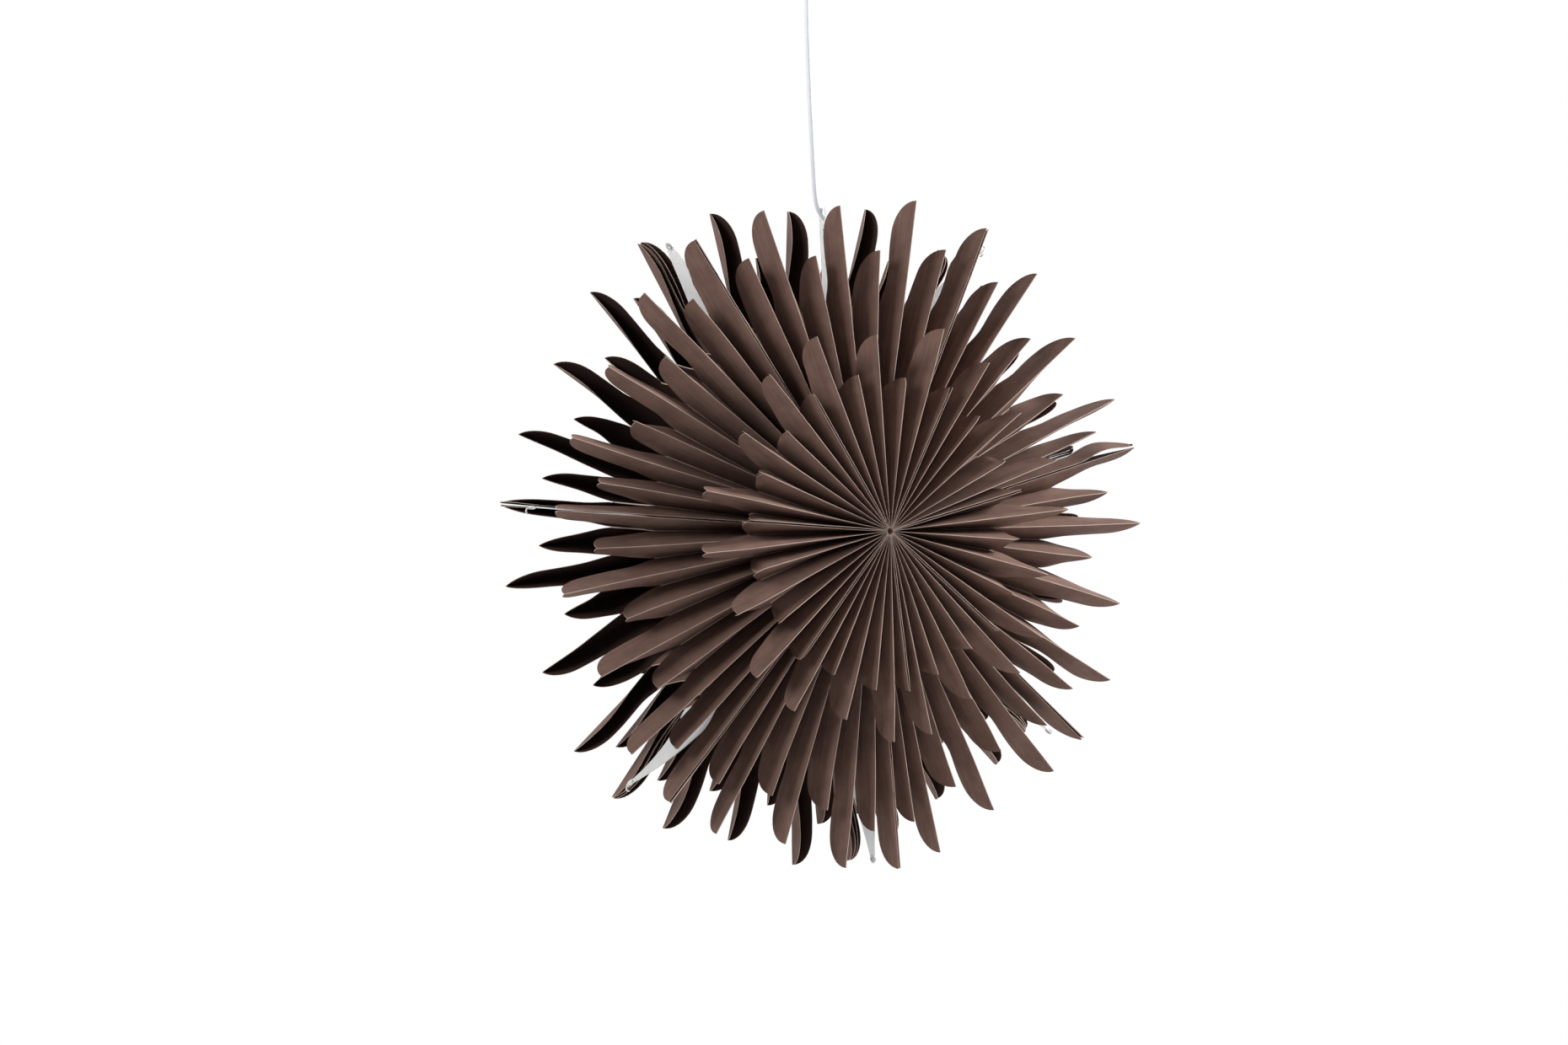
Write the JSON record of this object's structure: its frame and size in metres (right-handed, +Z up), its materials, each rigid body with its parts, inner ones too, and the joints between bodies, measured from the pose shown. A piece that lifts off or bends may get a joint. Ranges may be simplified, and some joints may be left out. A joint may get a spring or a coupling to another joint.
{
  "type": "paper star lamp",
  "caption": "Hanging star lamp of folded brown paper fingers round a level axis, with white cards in its seams, a lamp holder inside, a cord and a ceiling cup.",
  "frame": {"origin": "middle of the ceiling plate's top face, midway between its two screw holes", "axes": "+Z up along the screws into the ceiling; +Y along the level axis of the star, from the pole in front to the pole behind; +X to the right of one who looks along +Y"},
  "size_m": [0.6024, 0.212, 0.8377],
  "materials": {
    "brown_paper": "matt mauve-brown paper",
    "white_card": "smooth white card",
    "steel_wire": "bright drawn wire",
    "plated_eyelet": "nickel plate",
    "black_elastic": "braided elastic",
    "white_plastic": "moulded, satin",
    "ceramic_core": "unglazed",
    "brass": "pressed sheet",
    "opal_glass": "opal, unlit",
    "cord_sheath": "smooth white sheath",
    "white_enamel": "white enamel",
    "plated_steel": "zinc plate",
    "terminal_plastic": "moulded"
  },
  "bodies": {
    "root": {"pack_1": "brown_paper", "pack_2": "brown_paper", "pack_3": "brown_paper", "pack_4": "brown_paper", "pack_5": "brown_paper", "pack_6": "brown_paper", "pack_7": "brown_paper", "front_leaves_1": "brown_paper", "front_leaves_2": "brown_paper", "front_leaves_3": "brown_paper", "front_leaves_4": "brown_paper", "front_leaves_5": "brown_paper", "front_leaves_6": "brown_paper", "front_leaves_7": "brown_paper", "back_leaves_1": "brown_paper", "back_leaves_2": "brown_paper", "back_leaves_3": "brown_paper", "back_leaves_4": "brown_paper", "back_leaves_5": "brown_paper", "back_leaves_6": "brown_paper", "back_leaves_7": "brown_paper", "card_1": "white_card", "card_2": "white_card", "card_3": "white_card", "card_4": "white_card", "card_5": "white_card", "card_6": "white_card", "card_7": "white_card", "closing_hooks": "steel_wire", "card_eyelets": "plated_eyelet", "elastic_loop": "black_elastic", "hanging_strip": "white_card", "lamp_holder": "white_plastic", "holder_cap": "white_plastic", "holder_relief": "white_plastic", "socket_core": "ceramic_core", "socket_sleeve": "brass", "centre_contact": "brass", "bulb": "opal_glass", "cord": "cord_sheath", "ceiling_plate": "white_enamel", "ceiling_cup": "white_enamel", "grub_screws": "plated_steel", "cup_relief": "white_plastic", "relief_nut": "white_plastic", "terminal_block": "terminal_plastic"}
  },
  "joints": []
}
